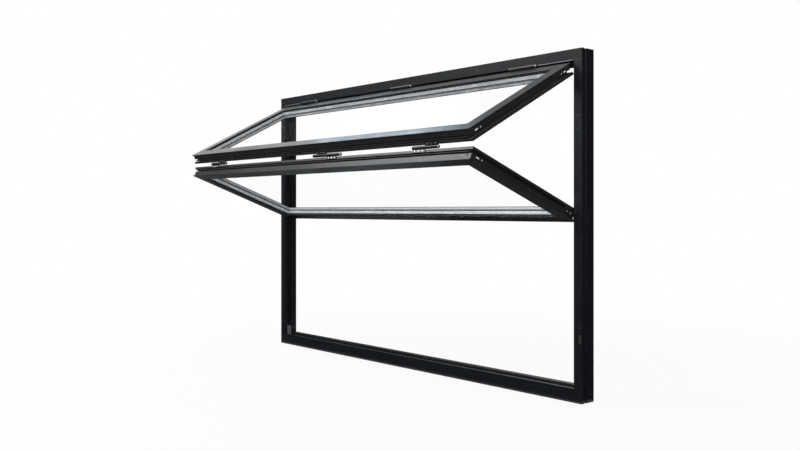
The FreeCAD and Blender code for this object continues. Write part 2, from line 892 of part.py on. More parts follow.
# Weather seals where the leaves meet: a foot on the groove's floor and a fin up its middle
def makeMeetingSeals():
    seals = []
    middle = (size.grooveNear + size.grooveFar) / 2
    for leaf, edge, down in ((upperLeaf, upperFoot, 1), (lowerLeaf, lowerTop, -1)):
        label = leaf.name + "_meeting_seal"
        body = newBody(label, leaf.place)
        sketch = newSketch(body, label + "_profile", "YZ_Plane")
        floor = edge + down * size.grooveDepth
        foot = floor - down * size.meetingSealFoot
        tip = edge + down * size.meetingSealBelow
        centre = leaf.outside + middle
        halfBase = size.meetingSealBase / 2
        halfFin = size.meetingSealFin / 2
        drawOutline(sketch, [
            (centre - halfBase, floor),
            (centre + halfBase, floor),
            (centre + halfBase, foot),
            (centre + halfFin, foot),
            (centre + halfFin, tip),
            (centre - halfFin, tip),
            (centre - halfFin, foot),
            (centre - halfBase, foot),
        ])
        addPad(body, label + "_length", sketch, 2 * (leafHalf - size.grooveDepth), symmetric=True)
        seals.append(body)
    gather("meeting_seals", seals)


# Weather seal in the head, which the upper leaf's top rail meets when shut
def makeHeadSeal():
    label = "head_seal"
    body = newBody(label)
    near = frontY + halfDepth - size.leafProud
    sketch = newSketch(body, label + "_profile", "YZ_Plane")
    drawOutline(sketch, [
        (near, headUnder - size.sealWidth),
        (near + size.sealWidth, headUnder - size.sealWidth),
        (near + size.sealWidth, headUnder + size.sealDepth),
        (near, headUnder + size.sealDepth),
    ])
    addPad(body, label + "_length", sketch, size.frameWidth - 2 * size.jambFace, symmetric=True)
    keep(label, body)


# Small cover cap near the foot of the right jamb
def makeCap():
    label = "right_jamb_cap"
    body = newBody(label)
    outer = halfWidth - size.capIn
    sketch = newSketch(body, label + "_outline", "XZ_Plane", -frontY)
    drawOutline(sketch, [
        (outer - size.capWidth, size.capUp),
        (outer, size.capUp),
        (outer, size.capUp + size.capHeight),
        (outer - size.capWidth, size.capUp + size.capHeight),
    ])
    addPad(body, label + "_thickness", sketch, size.capThickness)
    keep(label, body)


makeFrame()
makeLeafMembers(upperLeaf, footIsRecessed=False)
makeLeafMembers(lowerLeaf, footIsRecessed=True)
for leaf in (upperLeaf, lowerLeaf):
    makeBeads(leaf)
    makeGlazing(leaf)
makeHeadHinges()
makeFoldHinges()
for word, side in (("left", -1), ("right", 1)):
    makeFoot(word, side)
    makeKeeper(word, side)
makeMeetingSeals()
makeHeadSeal()
makeCap()
doc.recompute()

faults = []
for thing in doc.Objects:
    if "Invalid" in thing.State or "Error" in thing.State:
        faults.append("%s: %s" % (thing.Name, thing.State))
for thing in parts:
    if thing.Shape.isNull() or not thing.Shape.isValid():
        faults.append("%s has no valid shape" % thing.Label)
if faults:
    raise RuntimeError("\n".join(faults))

os.makedirs("parts", exist_ok=True)
for thing in parts:
    thing.Shape.exportStep("parts/%s.step" % thing.Label)
    print(thing.Label, len(thing.Shape.Solids), round(thing.Shape.Volume))
print("nodes", len(parts), "foot height", round(footZ, 2))
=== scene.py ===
import bmesh
import bpy
import json
import math
from mathutils import Matrix, Vector


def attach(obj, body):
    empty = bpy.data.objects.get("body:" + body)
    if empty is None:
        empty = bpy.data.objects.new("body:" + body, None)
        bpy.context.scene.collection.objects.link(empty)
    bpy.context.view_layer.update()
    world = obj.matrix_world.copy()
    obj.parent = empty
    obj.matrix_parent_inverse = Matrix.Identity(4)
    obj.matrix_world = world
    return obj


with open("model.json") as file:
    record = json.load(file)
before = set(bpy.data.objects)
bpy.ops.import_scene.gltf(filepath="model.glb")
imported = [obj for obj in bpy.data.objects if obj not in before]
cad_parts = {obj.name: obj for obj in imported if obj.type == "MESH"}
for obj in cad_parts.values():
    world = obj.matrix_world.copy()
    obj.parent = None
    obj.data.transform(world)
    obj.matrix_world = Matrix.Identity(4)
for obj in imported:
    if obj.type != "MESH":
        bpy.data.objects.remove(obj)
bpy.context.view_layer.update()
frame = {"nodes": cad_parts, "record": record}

mm = 0.001

# Fold-up window, half open. Seen from outside, +X is right, +Y is inwards, +Z is up.
# Two leaves hang one below the other; each has a frame of its own, with its hinges' axis as origin.

fold = {
    "headAxis": (-44.0, 1160.0),    # Y and Z of the head hinges' axis
    "upperSwing": 62.9,             # how far the upper leaf is swung out, in degrees
    "foldAxis": (56.0, -562.5),     # in the upper leaf's frame
    "footAxis": (-20.0, -553.5),    # in the lower leaf's frame
    "trackMiddle": -8.0,            # Y of the rollers' track
    "leafHalf": 860.0,              # half a leaf's width
}


def turnedAbout(across, up, degrees):
    return Matrix.Translation((0, across * mm, up * mm)) @ Matrix.Rotation(math.radians(degrees), 4, "X")


def leafPlaces():
    swing = math.radians(fold["upperSwing"])
    headY, headZ = fold["headAxis"]
    run, drop = fold["foldAxis"][0], -fold["foldAxis"][1]
    foldY = headY + run * math.cos(swing) - drop * math.sin(swing)
    foldZ = headZ - run * math.sin(swing) - drop * math.cos(swing)
    footY, footZ = fold["footAxis"]
    shutLean = math.atan2(footY, -footZ)
    openLean = math.asin((fold["trackMiddle"] - foldY) / math.hypot(footY, footZ))
    upper = turnedAbout(headY, headZ, -fold["upperSwing"])
    lower = turnedAbout(foldY, foldZ, math.degrees(openLean - shutLean))
    return upper, lower


upperPlace, lowerPlace = leafPlaces()
framePlace = Matrix.Identity(4)
print("window: frame loaded, leaves placed")


# Shader maths: a wire is a node's output, and an expression on wires adds its Math nodes
class Wire:
    def __init__(self, paint, socket):
        self.paint = paint
        self.socket = socket

    def math(self, operation, *values):
        return self.paint.node("ShaderNodeMath", {"operation": operation}, dict(enumerate(values)))[0]

    def __add__(self, other):
        return self.math("ADD", self, other)

    def __radd__(self, other):
        return self.math("ADD", other, self)

    def __sub__(self, other):
        return self.math("SUBTRACT", self, other)

    def __rsub__(self, other):
        return self.math("SUBTRACT", other, self)

    def __mul__(self, other):
        return self.math("MULTIPLY", self, other)

    def __rmul__(self, other):
        return self.math("MULTIPLY", other, self)

    def __gt__(self, other):
        return self.math("GREATER_THAN", self, other)

    def __lt__(self, other):
        return self.math("LESS_THAN", self, other)

    def __abs__(self):
        return self.math("ABSOLUTE", self)

    def atLeast(self, limit):
        return self.math("MAXIMUM", self, limit)

    def atMost(self, limit):
        return self.math("MINIMUM", self, limit)


# The outputs of one node, by name or number
class Made:
    def __init__(self, paint, node):
        self.paint = paint
        self.node = node

    def __getitem__(self, key):
        return Wire(self.paint, self.node.outputs[key])


# One material's or the world's node tree
class Paint:
    def __init__(self, owner):
        owner.use_nodes = True
        self.tree = owner.node_tree
        self.tree.nodes.clear()

    # any node, by its type, its settings and the values or links of its sockets
    def node(self, kind, settings=None, values=None):
        made = self.tree.nodes.new(kind)
        for name, value in (settings or {}).items():
            setattr(made, name, value)
        for key, value in (values or {}).items():
            self.feed(made.inputs[key], value)
        return Made(self, made)

    def feed(self, socket, value):
        if isinstance(value, Wire):
            self.tree.links.new(value.socket, socket)
        elif socket.type == "RGBA" and len(value) == 3:
            socket.default_value = (*value, 1.0)
        else:
            socket.default_value = value

    def spot(self):
        return self.node("ShaderNodeTexCoord")["Object"]

    def normal(self):
        return self.node("ShaderNodeNewGeometry")["Normal"]

    def height(self, vector):
        return self.node("ShaderNodeSeparateXYZ", None, {0: vector})["Z"]

    def dot(self, first, second):
        settings = {"operation": "DOT_PRODUCT"}
        return self.node("ShaderNodeVectorMath", settings, {0: first, 1: second})["Value"]

    def noise(self, scale, detail, rough, stretch=None, where=None):
        where = where or self.spot()
        if stretch:
            where = self.node("ShaderNodeMapping", None, {"Vector": where, "Scale": stretch})["Vector"]
        return self.node("ShaderNodeTexNoise", None, {
            "Vector": where, "Scale": scale, "Detail": detail, "Roughness": rough})["Fac"]

    def mix(self, factor, first, second):
        return self.node("ShaderNodeMix", {"data_type": "RGBA"}, {0: factor, 6: first, 7: second})[2]

    def bump(self, height, distance, strength, normal=None):
        values = {"Height": height, "Distance": distance, "Strength": strength}
        if normal:
            values["Normal"] = normal
        return self.node("ShaderNodeBump", None, values)["Normal"]

    # a normal with rounded corners, and how far it turns away from the flat face: 0 on the flat
    def edges(self, radius, samples=4, gain=4.0):
        rounded = self.node("ShaderNodeBevel", {"samples": samples}, {"Radius": radius})["Normal"]
        return rounded, (1.0 - self.dot(rounded, self.normal())) * gain

    def finish(self, values):
        shader = self.node("ShaderNodeBsdfPrincipled", None, values)
        self.node("ShaderNodeOutputMaterial", None, {"Surface": shader["BSDF"]})


def newMaterial(name):
    material = bpy.data.materials.new(name)
    return material, Paint(material)


alongX = (0.03, 1.0, 1.0)       # streaks that run along a rail
upright = (1.0, 1.0, 0.03)      # and along a stile or jamb


# Black satin powder coat: fine orange peel, cloudy gloss, rubbed edges, a few pale nibs,
# and dust wiped into streaks along the bar on the faces that look up
def powderCoat(name, look, lean=0.0, streaks=alongX):
    material, paint = newMaterial(name)
    cloud = paint.noise(look["cloudScale"], detail=4.0, rough=0.6)
    scuff = paint.noise(look["scuffScale"], detail=6.0, rough=0.72)
    peel = paint.noise(look["peelScale"], detail=2.0, rough=0.55)
    inLine = paint.node("ShaderNodeMapping", None, {
        "Vector": paint.spot(), "Rotation": (math.radians(lean), 0.0, 0.0)})["Vector"]
    streak = paint.noise(look["streakScale"], detail=4.0, rough=0.66, stretch=streaks, where=inLine)
    rounded, edge = paint.edges(look["edgeRadius"])
    rubbed = (edge * (scuff * look["rubGain"])).atMost(1.0)
    shade = paint.mix(cloud, look["deep"], look["colour"])
    worn = paint.mix(rubbed * look["rub"], shade, look["edgeColour"])
    upFacing = paint.height(paint.normal()).atLeast(0.0)
    wiped = (streak - look["streakFrom"]).atLeast(0.0) * look["streakGain"]
    dustShare = upFacing * wiped * look["dust"] + scuff * look["haze"]
    dusted = paint.mix(dustShare.atMost(look["dustMost"]), worn, look["dustColour"])
    nib = paint.node("ShaderNodeTexVoronoi", None, {"Vector": paint.spot(), "Scale": look["nibScale"]})
    chosen = paint.node("ShaderNodeSeparateColor", None, {0: nib["Color"]})["Red"] < look["nibShare"]
    gloss = (cloud - 0.5) * look["cloudiness"] + (scuff - 0.5) * look["scuffing"]
    paint.finish({
        "Base Color": paint.mix((nib["Distance"] < look["nibSize"]) * chosen, dusted, look["nibColour"]),
        "Roughness": look["roughness"] + gloss + dustShare * look["dustRoughness"],
        "Normal": paint.bump(peel, look["peelDepth"], strength=0.5, normal=rounded),
        "Specular IOR Level": look["specular"],
    })
    return material


coat = {
    "colour": (0.0068, 0.0079, 0.0098),
    "deep": (0.0046, 0.0052, 0.0062),
    "edgeColour": (0.055, 0.057, 0.060),
    "dustColour": (0.30, 0.305, 0.31),
    "roughness": 0.33,
    "specular": 0.40,
    "cloudScale": 5.5,
    "cloudiness": 0.12,         # how much the gloss changes with the clouds
    "scuffScale": 42.0,
    "scuffing": 0.12,           # and with the scuffs
    "peelScale": 1100.0,
    "peelDepth": 0.00012,
    "edgeRadius": 0.0009,
    "rub": 0.30,                # how bare the rubbed edges are
    "rubGain": 1.6,
    "dust": 0.05,
    "dustMost": 0.8,
    "dustRoughness": 0.5,
    "haze": 0.003,              # dust in the scuffs, whichever way a face looks
    "streakScale": 230.0,
    "streakFrom": 0.36,
    "streakGain": 3.0,
    "nibScale": 60.0,
    "nibSize": 0.068,
    "nibShare": 0.34,
    "nibColour": (0.22, 0.23, 0.24),
}
# The leaves' coat is painted lighter and greyer than the frame's: painted light, for the brighter light on
# the leaves. Its dust, clouds and gloss are the coat's own.
upperCoat = dict(coat, colour=(0.0170, 0.0172, 0.0172), deep=(0.0115, 0.0116, 0.0115), streakScale=360.0,
                 dust=0.26, haze=0.012, cloudScale=3.2, cloudiness=0.75, specular=0.50, roughness=0.28)
lowerCoat = dict(upperCoat, dust=0.16, cloudiness=0.30, roughness=0.33)
footRailCoat = dict(coat, rub=0.05, nibShare=0.06, peelDepth=0.00003, specular=0.22)
hingeLook = dict(coat, colour=(0.011, 0.0115, 0.0125), deep=(0.007, 0.0073, 0.0078), roughness=0.24,
                 specular=0.5, peelDepth=0.00005, rub=0.5, edgeRadius=0.0005)


# Plain plastic or rubber with a fine grain
def mouldedPlastic(name, look):
    material, paint = newMaterial(name)
    grain = paint.noise(look["grainScale"], detail=3.0, rough=0.6)
    stain = paint.noise(look["stainScale"], detail=5.0, rough=0.65)
    rounded, edge = paint.edges(look["edgeRadius"])
    base = paint.mix(stain, look["dark"], look["light"])
    paint.finish({
        "Base Color": paint.mix(edge.atMost(1.0) * look["edgeShare"], base, look["edgeColour"]),
        "Roughness": look["roughness"] + (grain - 0.5) * look["grainGloss"],
        "Normal": paint.bump(grain, look["grainDepth"], strength=0.5, normal=rounded),
    })
    return material


whiteNylonLook = {
    "light": (0.84, 0.84, 0.82),
    "dark": (0.72, 0.72, 0.69),
    "edgeColour": (0.90, 0.90, 0.88),
    "edgeRadius": 0.0006,
    "edgeShare": 0.5,
    "roughness": 0.42,
    "stainScale": 60.0,
    "grainScale": 700.0,
    "grainDepth": 0.00008,
    "grainGloss": 0.16,
}
greyNylonLook = dict(whiteNylonLook, light=(0.25, 0.25, 0.245), dark=(0.17, 0.17, 0.165),
                     edgeColour=(0.36, 0.36, 0.35), roughness=0.48)
darkNylonLook = dict(whiteNylonLook, light=(0.040, 0.040, 0.038), dark=(0.026, 0.026, 0.025),
                     edgeColour=(0.07, 0.07, 0.068), roughness=0.5)
dimNylonLook = dict(darkNylonLook, light=(0.092, 0.094, 0.098), dark=(0.064, 0.065, 0.068),
                    edgeColour=(0.13, 0.13, 0.13))
greyRubberLook = dict(whiteNylonLook, light=(0.26, 0.265, 0.27), dark=(0.17, 0.175, 0.18),
                      edgeColour=(0.32, 0.32, 0.33), roughness=0.55, edgeShare=0.25)
rubberLook = dict(whiteNylonLook, light=(0.021, 0.021, 0.021), dark=(0.011, 0.011, 0.011),
                  edgeColour=(0.05, 0.05, 0.05), roughness=0.62, grainDepth=0.00015, edgeShare=0.35)


# Bare metal with brush marks along X
def bareMetal(name, look):
    material, paint = newMaterial(name)
    marks = paint.noise(look["markScale"], detail=4.0, rough=0.6, stretch=look["stretch"])
    stain = paint.noise(look["stainScale"], detail=4.0, rough=0.6)
    rounded, edge = paint.edges(look["edgeRadius"])
    mottle = stain * (1.0 - look["markShade"]) + marks * look["markShade"]
    lightness = ((mottle - look["mottleFrom"]) * look["contrast"]).atMost(1.0).atLeast(0.0)
    base = paint.mix(lightness, look["dark"], look["light"])
    gloss = (marks - 0.5) * look["markGloss"] + (stain - 0.5) * look["stainGloss"]
    paint.finish({
        "Base Color": paint.mix(edge.atMost(1.0) * look["edgeShare"], base, look["edgeColour"]),
        "Metallic": look["metal"],
        "Roughness": look["roughness"] + gloss,
        "Normal": paint.bump(marks, look["markDepth"], strength=0.6, normal=rounded),
    })
    return material


steelLook = {
    "light": (0.60, 0.60, 0.59),
    "dark": (0.42, 0.42, 0.42),
    "edgeColour": (0.8, 0.8, 0.79),
    "edgeRadius": 0.0004,
    "edgeShare": 0.5,
    "metal": 1.0,
    "roughness": 0.32,
    "markScale": 240.0,
    "stretch": (0.12, 1.0, 1.0),
    "markDepth": 0.00006,
    "markShade": 0.2,           # share of the marks in the mottle, and the stain has the rest
    "markGloss": 0.2,
    "stainScale": 90.0,
    "stainGloss": 0.1,
    "mottleFrom": 0.3,
    "contrast": 2.5,
}
# A lighter half-metal grey for the strips that are a painted highlight along the head's lower edge
highlightStripLook = dict(steelLook, light=(0.38, 0.39, 0.41), dark=(0.24, 0.25, 0.26), roughness=0.40, metal=0.5)
spacerLook = dict(steelLook, light=(0.80, 0.81, 0.82), dark=(0.30, 0.31, 0.32), roughness=0.45,
                  markScale=150.0, stretch=(0.10, 1.0, 1.0), metal=0.15, markShade=0.60)
zincLook = dict(steelLook, light=(0.84, 0.84, 0.82), dark=(0.66, 0.66, 0.64), roughness=0.26,
                stretch=(1.0, 1.0, 1.0), markDepth=0.00003)


# Glazing bead: black coat towards the room, bare blotchy metal on the narrow sides that face the glass,
# with painted glints: small near-white highlights painted into the bare metal's colour
def glazingBead(name, look, lean):
    material, paint = newMaterial(name)
    through = (0.0, math.cos(math.radians(lean)), math.sin(math.radians(lean)))
    bare = abs(paint.dot(paint.normal(), through)) < look["bareFrom"]
    blotch = paint.noise(look["blotchScale"], detail=5.0, rough=0.7)
    marks = paint.noise(look["markScale"], detail=4.0, rough=0.6, stretch=look["stretch"])
    # Painted highlights: near-white glints painted into the colour wherever a stretched noise runs high
    paintedGlintNoise = paint.noise(look["glintScale"], detail=2.0, rough=0.5, stretch=look["glintStretch"])
    paintedGlint = paintedGlintNoise > look["glintFrom"]
    mottle = (blotch * 0.5 + marks * 0.5 - look["mottleFrom"]) * look["contrast"]
    metal = paint.mix(mottle.atMost(1.0), look["dark"], look["light"])
    withPaintedGlints = paint.mix(paintedGlint, metal, look["glintColour"])
    paint.finish({
        "Base Color": paint.mix(bare, look["coatColour"], withPaintedGlints),
        "Metallic": bare * look["metal"],
        "Roughness": look["roughness"] + (blotch - 0.5) * look["blotchGloss"],
        "Normal": paint.bump(marks, look["markDepth"], strength=0.5),
    })
    return material


beadLook = {
    "coatColour": (0.0120, 0.0125, 0.0130),
    "light": (0.72, 0.73, 0.74),
    "dark": (0.26, 0.27, 0.28),
    # colour of the painted glints, highlights painted on the bare metal
    "glintColour": (0.95, 0.96, 0.97),
    "bareFrom": 0.6,            # a face is bare where it turns this far from the room
    "metal": 0.15,
    "roughness": 0.42,
    "blotchScale": 38.0,
    "blotchGloss": 0.3,
    "markScale": 300.0,
    "stretch": (0.06, 1.0, 1.0),
    "markDepth": 0.00006,
    "mottleFrom": 0.35,
    "contrast": 3.0,
    "glintScale": 110.0,
    "glintStretch": (0.30, 1.0, 1.0),
    "glintFrom": 0.66,
}
# The lower leaf's beads: broader blotches and fewer painted glints
lowerBeadLook = dict(beadLook, blotchScale=7.0, mottleFrom=0.20, contrast=1.6, glintFrom=0.80)


# Clear float glass: it mirrors at a slant, and is otherwise seen only by faint wiped smears
def clearGlass(name, look):
    material, paint = newMaterial(name)
    smear = paint.noise(look["smearScale"], detail=5.0, rough=0.62, stretch=look["smearStretch"])
    wipe = paint.noise(look["wipeScale"], detail=4.0, rough=0.7, stretch=look["wipeStretch"])
    film = (smear * wipe - look["filmFrom"]).atLeast(0.0) * look["filmGain"]
    mirror = paint.node("ShaderNodeFresnel", None, {"IOR": look["refraction"]})["Fac"]
    paint.finish({
        "Base Color": paint.mix(film.atMost(1.0), look["colour"], look["filmColour"]),
        "Metallic": 1.0,
        "Roughness": look["roughness"] + film * look["filmRoughness"],
        "Alpha": look["body"] + mirror * look["mirror"] + film * look["film"],
    })
    return material


glassLook = {
    "colour": (0.93, 0.97, 0.96),
    "filmColour": (0.80, 0.82, 0.83),
    "smearScale": 3.2,
    "smearStretch": (1.0, 2.6, 2.6),
    "wipeScale": 60.0,
    "wipeStretch": (0.25, 1.0, 1.0),
    "filmFrom": 0.22,
    "filmGain": 4.0,
    "filmRoughness": 0.25,
    "roughness": 0.03,
    "refraction": 1.5,
    "body": 0.001,              # the three shares of what the pane hides
    "mirror": 0.004,
    "film": 0.006,
}
lowerGlassLook = dict(glassLook, mirror=0.009, film=0.007)

swing = fold["upperSwing"]
lowerLean = math.degrees(lowerPlace.to_euler().x)

# A rail's coat and an upright bar's coat for the frame and for each leaf
coats = {
    "frame": (powderCoat("frameCoat", coat),
              powderCoat("jambCoat", coat, 0.0, upright)),
    "upper": (powderCoat("upperRailCoat", upperCoat),
              powderCoat("upperStileCoat", upperCoat, swing, upright)),
    "lower": (powderCoat("lowerRailCoat", lowerCoat),
              powderCoat("lowerStileCoat", lowerCoat, -lowerLean, upright)),
}
panes = {
    "upper": clearGlass("upperFloatGlass", glassLook),
    "lower": clearGlass("lowerFloatGlass", lowerGlassLook),
}
whiteNylon = mouldedPlastic("whiteNylon", whiteNylonLook)
greyNylon = mouldedPlastic("greyNylon", greyNylonLook)
dimNylon = mouldedPlastic("dimNylon", dimNylonLook)
rubber = mouldedPlastic("sealRubber", rubberLook)
greyRubber = mouldedPlastic("greySealRubber", greyRubberLook)
# Finish of the head's edge strips, a painted highlight
highlightStrip = bareMetal("paintedHighlightStripFinish", highlightStripLook)
zinc = bareMetal("brightZinc", zincLook)

slotFinishes = {
    "hinge_coat": powderCoat("hingeBlackCoat", hingeLook),
    "spacer": bareMetal("mattAluminium", spacerLook),
    "rubber": rubber,
    "white_nylon": whiteNylon,
    "grey_nylon": greyNylon,
    "steel": bareMetal("brushedSteel", steelLook),
}

# These nodes take a finish of their own instead of their slot's
ownFinishes = {
    "upper_inner_gasket": greyRubber,
    "lower_inner_gasket": greyRubber,
    "upper_glazing_beads": glazingBead("upperBeadFinish", beadLook, -swing),
    "lower_glazing_beads": glazingBead("lowerBeadFinish", lowerBeadLook, lowerLean),
    "lower_bottom_rail": powderCoat("footRailCoat", footRailCoat),
    "right_jamb_cap": mouldedPlastic("darkNylon", darkNylonLook),
}


# The finish of one solid; a coated bar's streaks run along it
def finishOf(name, slotName):
    part = name.split("_")[0]
    if name in ownFinishes:
        return ownFinishes[name]
    if slotName == "powder_coat":
        rail, standing = coats[part]
        return standing if "jamb" in name or "stile" in name else rail
    if slotName == "glass":
        return panes[part]
    return slotFinishes[slotName]


def dressSolids():
    for row in frame["record"]["subparts"]:
        solid = frame["nodes"][row["node"]]
        solid.data.materials.clear()
        solid.data.materials.append(finishOf(row["node"], row["material_slot"]))
        if row["material_slot"] == "glass":
            solid.visible_shadow = False


dressSolids()
print("window: finishes assigned")


def addToScene(thing):
    bpy.context.scene.collection.objects.link(thing)
    return thing


# A finished piece, its place already in its mesh
def keepPiece(name, mesh):
    piece = addToScene(bpy.data.objects.new(name, mesh))
    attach(piece, "root")


# Geometry Nodes: builds one tree, adding nodes and links by name
class Grower:
    def __init__(self, name, inputs):
        self.tree = bpy.data.node_groups.new(name, "GeometryNodeTree")
        self.tree.interface.new_socket("Geometry", in_out="INPUT", socket_type="NodeSocketGeometry")
        self.tree.interface.new_socket("Geometry", in_out="OUTPUT", socket_type="NodeSocketGeometry")
        for label, (kind, value) in inputs.items():
            made = self.tree.interface.new_socket(label, in_out="INPUT", socket_type=kind)
            if value is not None:
                made.default_value = value
        self.given = self.tree.nodes.new("NodeGroupInput").outputs
        self.end = self.tree.nodes.new("NodeGroupOutput")

    def node(self, kind, settings=None, values=None):
        made = self.tree.nodes.new(kind)
        for name, value in (settings or {}).items():
            setattr(made, name, value)
        for key, value in (values or {}).items():
            if isinstance(value, bpy.types.NodeSocket):
                self.tree.links.new(value, made.inputs[key])
            else:
                made.inputs[key].default_value = value
        return made

    def plus(self, first, second):
        return self.node("ShaderNodeMath", {"operation": "ADD"}, {0: first, 1: second}).outputs[0]

    def times(self, first, second):
        return self.node("ShaderNodeMath", {"operation": "MULTIPLY"}, {0: first, 1: second}).outputs[0]

    def point(self, x=0.0, y=0.0, z=0.0):
        return self.node("ShaderNodeCombineXYZ", None, {0: x, 1: y, 2: z}).outputs[0]

    def raised(self, shape, height):
        return self.node("GeometryNodeTransform", None, {
            "Geometry": shape, "Translation": self.point(z=height)}).outputs[0]

    # the shape on every point of the host, turned as the point's "turn" says
    def stood(self, shape):
        turn = self.node("GeometryNodeInputNamedAttribute", {"data_type": "FLOAT_VECTOR"}, {"Name": "turn"})
        return self.node("GeometryNodeInstanceOnPoints", None, {
            "Points": self.given["Geometry"], "Instance": shape,
            "Rotation": turn.outputs["Attribute"]}).outputs[0]

    def close(self, shape):
        real = self.node("GeometryNodeRealizeInstances", None, {"Geometry": shape}).outputs[0]
        painted = self.node("GeometryNodeSetMaterial", None, {
            "Geometry": real, "Material": self.given["Finish"]}).outputs[0]
        self.tree.links.new(painted, self.end.inputs[0])
        return self.tree


# A mesh of loose points; each spot is a place and how the thing that stands there is turned
def pointMesh(name, spots):
    mesh = bpy.data.meshes.new(name)
    mesh.from_pydata([[value * mm for value in place] for place, turn in spots], [], [])
    turns = mesh.attributes.new("turn", "FLOAT_VECTOR", "POINT")
    for index, (place, turn) in enumerate(spots):
        turns.data[index].vector = turn
    return mesh


# Runs a tree on the spots and keeps the result as a plain mesh in the window's own frame
def grow(name, spots, tree, values, place):
    carrier = addToScene(bpy.data.objects.new(name + "Host", pointMesh(name, spots)))
    modifier = carrier.modifiers.new("grow", "NODES")
    modifier.node_group = tree
    sockets = {item.name: item.identifier for item in tree.interface.items_tree if item.in_out == "INPUT"}
    for label, value in values.items():
        modifier[sockets[label]] = value
    bpy.context.view_layer.update()
    evaluated = carrier.evaluated_get(bpy.context.evaluated_depsgraph_get())
    mesh = bpy.data.meshes.new_from_object(evaluated)
    carrier.modifiers.remove(modifier)
    bpy.data.objects.remove(carrier)
    mesh.transform(place)
    mesh.name = name
    keepPiece(name, mesh)


screwForm = {
    "sides": 24,
    "shoulder": 0.78,           # the dome narrows to this share of the head's radius
    "crown": 0.42,              # and then to this
    "shoulderRise": 0.6,        # share of the dome below the shoulder
}


# Raised countersunk screw with a cross recess, its seat at the origin and its head towards +Z
def screwTree():
    grower = Grower("crossScrews", {
        "Head radius": ("NodeSocketFloat", 0.0034),
        "Rim height": ("NodeSocketFloat", 0.0003),
        "Dome height": ("NodeSocketFloat", 0.0007),
        "Recess width": ("NodeSocketFloat", 0.0009),
        "Recess length": ("NodeSocketFloat", 0.0038),
        "Recess depth": ("NodeSocketFloat", 0.0008),
        "Seed": ("NodeSocketInt", 7),
        "Finish": ("NodeSocketMaterial", None),
    })
    given = grower.given
    radius, rim, dome = given["Head radius"], given["Rim height"], given["Dome height"]
    shoulder = grower.times(radius, screwForm["shoulder"])
    crown = grower.times(radius, screwForm["crown"])
    lowerRise = grower.times(dome, screwForm["shoulderRise"])
    upperRise = grower.times(dome, 1.0 - screwForm["shoulderRise"])

    def cone(base, top, rise, start):
        made = grower.node("GeometryNodeMeshCone", None, {
            "Vertices": screwForm["sides"], "Radius Top": top, "Radius Bottom": base, "Depth": rise})
        return grower.raised(made.outputs[0], start)

    disc = grower.node("GeometryNodeMeshCylinder", None, {
        "Vertices": screwForm["sides"], "Radius": radius, "Depth": rim}).outputs[0]
    solid = grower.node("GeometryNodeMeshBoolean", {"operation": "UNION", "solver": "EXACT"})
    for part in (cone(shoulder, crown, upperRise, grower.plus(rim, lowerRise)),
                 cone(radius, shoulder, lowerRise, rim),
                 grower.raised(disc, grower.times(rim, 0.5))):
        grower.tree.links.new(part, solid.inputs["Mesh 2"])
    cut = grower.node("GeometryNodeMeshBoolean", {"operation": "DIFFERENCE", "solver": "EXACT"}, {
        "Mesh 1": solid.outputs[0]})
    width, length = given["Recess width"], given["Recess length"]
    depth = grower.times(given["Recess depth"], 2.0)    # half of the cutter stands above the head
    for across, along in ((width, length), (length, width)):
        size = grower.point(across, along, depth)
        bar = grower.node("GeometryNodeMeshCube", None, {"Size": size}).outputs[0]
        grower.tree.links.new(grower.raised(bar, grower.plus(rim, dome)), cut.inputs["Mesh 2"])
    spin = grower.node("FunctionNodeRandomValue", {"data_type": "FLOAT"}, {
        "Min": 0.0, "Max": math.tau, "Seed": given["Seed"]}).outputs["Value"]
    spun = grower.node("GeometryNodeRotateInstances", None, {
        "Instances": grower.stood(cut.outputs[0]), "Rotation": grower.point(z=spin)}).outputs[0]
    return grower.close(spun)


screws = screwTree()

faceUp = (0.0, 0.0, 0.0)
faceDown = (math.pi, 0.0, 0.0)
faceOut = (math.pi / 2, 0.0, 0.0)


def faceAside(side):
    return 0.0, side * math.pi / 2, 0.0


# Y and Z of the seats are in the frame of what each wing is fixed to
wingScrew = {
    "outerMiddle": 650.0,       # the outer hinges' middles lie this far from the window's
    "middleFold": 125.0,        # and the middle fold hinge this far
    "offset": 31.0,             # from a hinge's middle to the middle one of a wing's three screws
    "pitch": 18.0,
    "headRadius": 3.5,
    "headFixedSeat": (-27.0, 1160.2),
    "headLeafSeat": (17.0, -1.2),
    "foldUpperSeat": (44.5, -562.2),
    "foldLowerSeat": (-11.5, -0.3),
}


# Three screws in each hinge wing; a hinge's hand says to which side its swinging wing lies
def makeWingScrews():
    far = wingScrew["outerMiddle"]
    headHinges = [(-far, 1), (0.0, 1), (far, 1)]
    foldHinges = [(-far, 1), (wingScrew["middleFold"], -1), (far, 1)]
    wings = (
        ("headFixed", framePlace, headHinges, -1, faceDown),
        ("headLeaf", upperPlace, headHinges, 1, faceUp),
        ("foldUpper", upperPlace, foldHinges, 1, faceDown),
        ("foldLower", lowerPlace, foldHinges, -1, faceUp),
    )
    values = {"Head radius": wingScrew["headRadius"] * mm, "Finish": zinc}
    for word, place, hinges, side, turn in wings:
        spots = []
        for middle, hand in hinges:
            centre = middle + side * hand * wingScrew["offset"]
            for step in (-1, 0, 1):
                spots.append(((centre + step * wingScrew["pitch"], *wingScrew[word + "Seat"]), turn))
        grow(word + "Screws", spots, screws, values, place)


makeWingScrews()

footScrew = {
    "across": -31.5,
    "heights": (-521.5, -500.5),
    "headRadius": 3.0,
}


# Two screws hold each foot bracket to the lower leaf's stile
def makeFootScrews():
    spots = []
    for side in (-1, 1):
        for height in footScrew["heights"]:
            spots.append(((side * fold["leafHalf"], footScrew["across"], height), faceAside(side)))
    values = {"Head radius": footScrew["headRadius"] * mm, "Finish": zinc}
    grow("footScrews", spots, screws, values, lowerPlace)


makeFootScrews()
print("window: screws grown")


